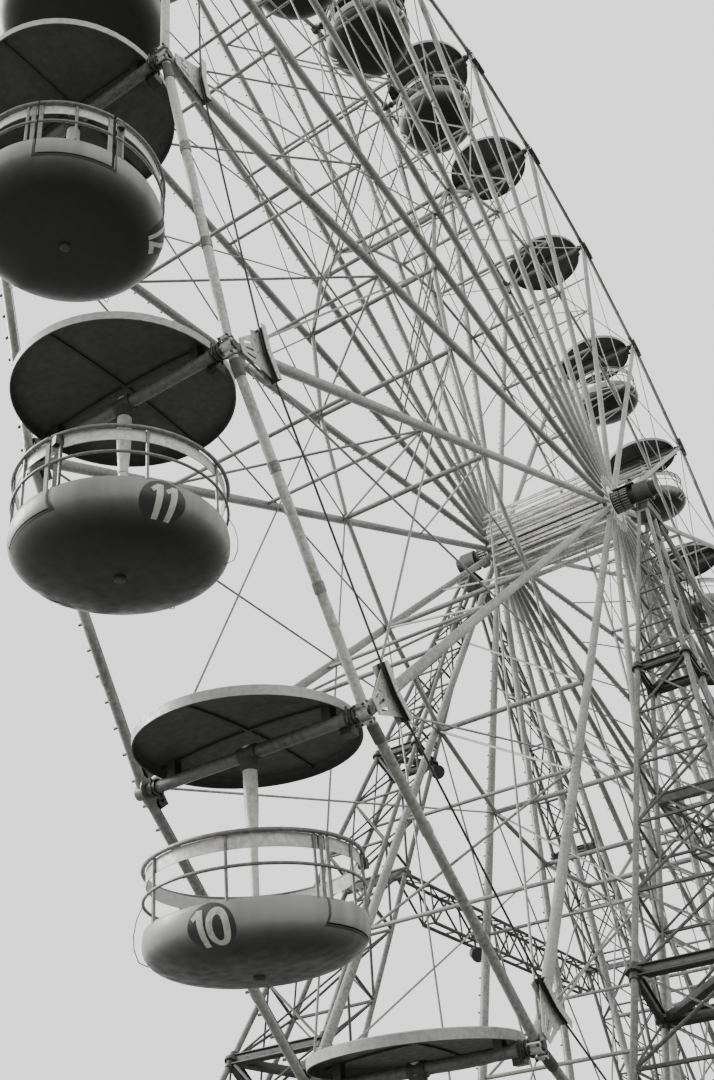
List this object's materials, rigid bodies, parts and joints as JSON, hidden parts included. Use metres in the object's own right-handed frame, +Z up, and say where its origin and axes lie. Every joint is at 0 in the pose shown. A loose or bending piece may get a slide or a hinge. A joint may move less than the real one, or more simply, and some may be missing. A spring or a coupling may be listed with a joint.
{
  "type": "ferris wheel",
  "caption": "Tall fairground ferris wheel: two latticed A-frame towers, a spoked wheel with a rope drive on one side, and round open cars with canopies that hang level.",
  "frame": {"origin": "on the ground, straight below the middle of the hub", "axes": "+X along the wheel's axle towards the rope drive, +Y across the wheel towards the back, +Z up"},
  "size_m": [6.672, 22.488, 23.1226],
  "materials": {
    "grey_paint": "weathered light paint, satin",
    "dark_paint": "dark paint, dusty satin",
    "bare_steel": "machined and oiled",
    "rope_steel": "greased wire rope",
    "car_paint": "gloss enamel, worn"
  },
  "bodies": {
    "frame": {"near_left_leg": "grey_paint", "far_left_leg": "grey_paint", "near_right_leg": "grey_paint", "far_right_leg": "grey_paint", "left_bridge": "dark_paint", "left_tower_head": "dark_paint", "left_bearing": "bare_steel", "right_bridge": "dark_paint", "right_tower_head": "dark_paint", "right_bearing": "bare_steel"},
    "wheel": {"left_wheel_side": "grey_paint", "right_wheel_side": "grey_paint", "left_hub_collar": "bare_steel", "right_hub_collar": "bare_steel", "middle_ring": "grey_paint", "hub_drum": "grey_paint", "hub_shaft": "bare_steel", "drive_rope": "rope_steel"},
    "car_01": {"car_01": "car_paint"},
    "car_02": {"car_02": "car_paint"},
    "car_03": {"car_03": "car_paint"},
    "car_04": {"car_04": "car_paint"},
    "car_05": {"car_05": "car_paint"},
    "car_06": {"car_06": "car_paint"},
    "car_07": {"car_07": "car_paint"},
    "car_08": {"car_08": "car_paint"},
    "car_09": {"car_09": "car_paint"},
    "car_10": {"car_10": "car_paint"},
    "car_11": {"car_11": "car_paint"},
    "car_12": {"car_12": "car_paint"},
    "car_13": {"car_13": "car_paint"},
    "car_14": {"car_14": "car_paint"},
    "car_15": {"car_15": "car_paint"},
    "car_16": {"car_16": "car_paint"},
    "car_17": {"car_17": "car_paint"},
    "car_18": {"car_18": "car_paint"},
    "car_19": {"car_19": "car_paint"},
    "car_20": {"car_20": "car_paint"},
    "car_21": {"car_21": "car_paint"},
    "car_22": {"car_22": "car_paint"},
    "car_23": {"car_23": "car_paint"},
    "car_24": {"car_24": "car_paint"},
    "gate_10": {"gate_10": "car_paint"},
    "gate_11": {"gate_11": "car_paint"},
    "gate_12": {"gate_12": "car_paint"}
  },
  "joints": [
    {"name": "wheel_spin", "type": "hinge", "parent": "frame", "child": "wheel", "pos_m": [0, 0, 12.5], "axis": [1, 0, 0], "continuous": true},
    {"name": "car_01_hang", "type": "hinge", "parent": "wheel", "child": "car_01", "pos_m": [0, 10.39909, 11.04776], "axis": [1, 0, 0], "continuous": true},
    {"name": "car_02_hang", "type": "hinge", "parent": "wheel", "child": "car_02", "pos_m": [0, 9.66888, 8.40576], "axis": [1, 0, 0], "continuous": true},
    {"name": "car_03_hang", "type": "hinge", "parent": "wheel", "child": "car_03", "pos_m": [0, 8.27975, 6.04278], "axis": [1, 0, 0], "continuous": true},
    {"name": "car_04_hang", "type": "hinge", "parent": "wheel", "child": "car_04", "pos_m": [0, 6.32637, 4.11984], "axis": [1, 0, 0], "continuous": true},
    {"name": "car_05_hang", "type": "hinge", "parent": "wheel", "child": "car_05", "pos_m": [0, 3.94186, 2.76801], "axis": [1, 0, 0], "continuous": true},
    {"name": "car_06_hang", "type": "hinge", "parent": "wheel", "child": "car_06", "pos_m": [0, 1.28872, 2.07939], "axis": [1, 0, 0], "continuous": true},
    {"name": "car_07_hang", "type": "hinge", "parent": "wheel", "child": "car_07", "pos_m": [0, -1.45224, 2.10091], "axis": [1, 0, 0], "continuous": true},
    {"name": "car_08_hang", "type": "hinge", "parent": "wheel", "child": "car_08", "pos_m": [0, -4.09424, 2.83112], "axis": [1, 0, 0], "continuous": true},
    {"name": "car_09_hang", "type": "hinge", "parent": "wheel", "child": "car_09", "pos_m": [0, -6.45722, 4.22025], "axis": [1, 0, 0], "continuous": true},
    {"name": "car_10_hang", "type": "hinge", "parent": "wheel", "child": "car_10", "pos_m": [0, -8.38016, 6.17363], "axis": [1, 0, 0], "continuous": true},
    {"name": "car_11_hang", "type": "hinge", "parent": "wheel", "child": "car_11", "pos_m": [0, -9.73199, 8.55814], "axis": [1, 0, 0], "continuous": true},
    {"name": "car_12_hang", "type": "hinge", "parent": "wheel", "child": "car_12", "pos_m": [0, -10.42061, 11.21128], "axis": [1, 0, 0], "continuous": true},
    {"name": "car_13_hang", "type": "hinge", "parent": "wheel", "child": "car_13", "pos_m": [0, -10.39909, 13.95224], "axis": [1, 0, 0], "continuous": true},
    {"name": "car_14_hang", "type": "hinge", "parent": "wheel", "child": "car_14", "pos_m": [0, -9.66888, 16.59424], "axis": [1, 0, 0], "continuous": true},
    {"name": "car_15_hang", "type": "hinge", "parent": "wheel", "child": "car_15", "pos_m": [0, -8.27975, 18.95722], "axis": [1, 0, 0], "continuous": true},
    {"name": "car_16_hang", "type": "hinge", "parent": "wheel", "child": "car_16", "pos_m": [0, -6.32637, 20.88016], "axis": [1, 0, 0], "continuous": true},
    {"name": "car_17_hang", "type": "hinge", "parent": "wheel", "child": "car_17", "pos_m": [0, -3.94186, 22.23199], "axis": [1, 0, 0], "continuous": true},
    {"name": "car_18_hang", "type": "hinge", "parent": "wheel", "child": "car_18", "pos_m": [0, -1.28872, 22.92061], "axis": [1, 0, 0], "continuous": true},
    {"name": "car_19_hang", "type": "hinge", "parent": "wheel", "child": "car_19", "pos_m": [0, 1.45224, 22.89909], "axis": [1, 0, 0], "continuous": true},
    {"name": "car_20_hang", "type": "hinge", "parent": "wheel", "child": "car_20", "pos_m": [0, 4.09424, 22.16888], "axis": [1, 0, 0], "continuous": true},
    {"name": "car_21_hang", "type": "hinge", "parent": "wheel", "child": "car_21", "pos_m": [0, 6.45722, 20.77975], "axis": [1, 0, 0], "continuous": true},
    {"name": "car_22_hang", "type": "hinge", "parent": "wheel", "child": "car_22", "pos_m": [0, 8.38016, 18.82637], "axis": [1, 0, 0], "continuous": true},
    {"name": "car_23_hang", "type": "hinge", "parent": "wheel", "child": "car_23", "pos_m": [0, 9.73199, 16.44186], "axis": [1, 0, 0], "continuous": true},
    {"name": "car_24_hang", "type": "hinge", "parent": "wheel", "child": "car_24", "pos_m": [0, 10.42061, 13.78872], "axis": [1, 0, 0], "continuous": true},
    {"name": "gate_10_hinge", "type": "hinge", "parent": "car_10", "child": "gate_10", "pos_m": [0.60484, -8.58606, 5.09063], "axis": [0, 0, 1], "range_deg": [0, 85]},
    {"name": "gate_11_hinge", "type": "hinge", "parent": "car_11", "child": "gate_11", "pos_m": [-0.42587, -10.2083, 7.47514], "axis": [0, 0, 1], "range_deg": [0, 85]},
    {"name": "gate_12_hinge", "type": "hinge", "parent": "car_12", "child": "gate_12", "pos_m": [0.27204, -10.99873, 10.12828], "axis": [0, 0, 1], "range_deg": [0, 85]}
  ],
  "couplings": [
    {"joint": "car_01_hang", "follows": "wheel_spin", "ratio": -1},
    {"joint": "car_02_hang", "follows": "wheel_spin", "ratio": -1},
    {"joint": "car_03_hang", "follows": "wheel_spin", "ratio": -1},
    {"joint": "car_04_hang", "follows": "wheel_spin", "ratio": -1},
    {"joint": "car_05_hang", "follows": "wheel_spin", "ratio": -1},
    {"joint": "car_06_hang", "follows": "wheel_spin", "ratio": -1},
    {"joint": "car_07_hang", "follows": "wheel_spin", "ratio": -1},
    {"joint": "car_08_hang", "follows": "wheel_spin", "ratio": -1},
    {"joint": "car_09_hang", "follows": "wheel_spin", "ratio": -1},
    {"joint": "car_10_hang", "follows": "wheel_spin", "ratio": -1},
    {"joint": "car_11_hang", "follows": "wheel_spin", "ratio": -1},
    {"joint": "car_12_hang", "follows": "wheel_spin", "ratio": -1},
    {"joint": "car_13_hang", "follows": "wheel_spin", "ratio": -1},
    {"joint": "car_14_hang", "follows": "wheel_spin", "ratio": -1},
    {"joint": "car_15_hang", "follows": "wheel_spin", "ratio": -1},
    {"joint": "car_16_hang", "follows": "wheel_spin", "ratio": -1},
    {"joint": "car_17_hang", "follows": "wheel_spin", "ratio": -1},
    {"joint": "car_18_hang", "follows": "wheel_spin", "ratio": -1},
    {"joint": "car_19_hang", "follows": "wheel_spin", "ratio": -1},
    {"joint": "car_20_hang", "follows": "wheel_spin", "ratio": -1},
    {"joint": "car_21_hang", "follows": "wheel_spin", "ratio": -1},
    {"joint": "car_22_hang", "follows": "wheel_spin", "ratio": -1},
    {"joint": "car_23_hang", "follows": "wheel_spin", "ratio": -1},
    {"joint": "car_24_hang", "follows": "wheel_spin", "ratio": -1}
  ]
}
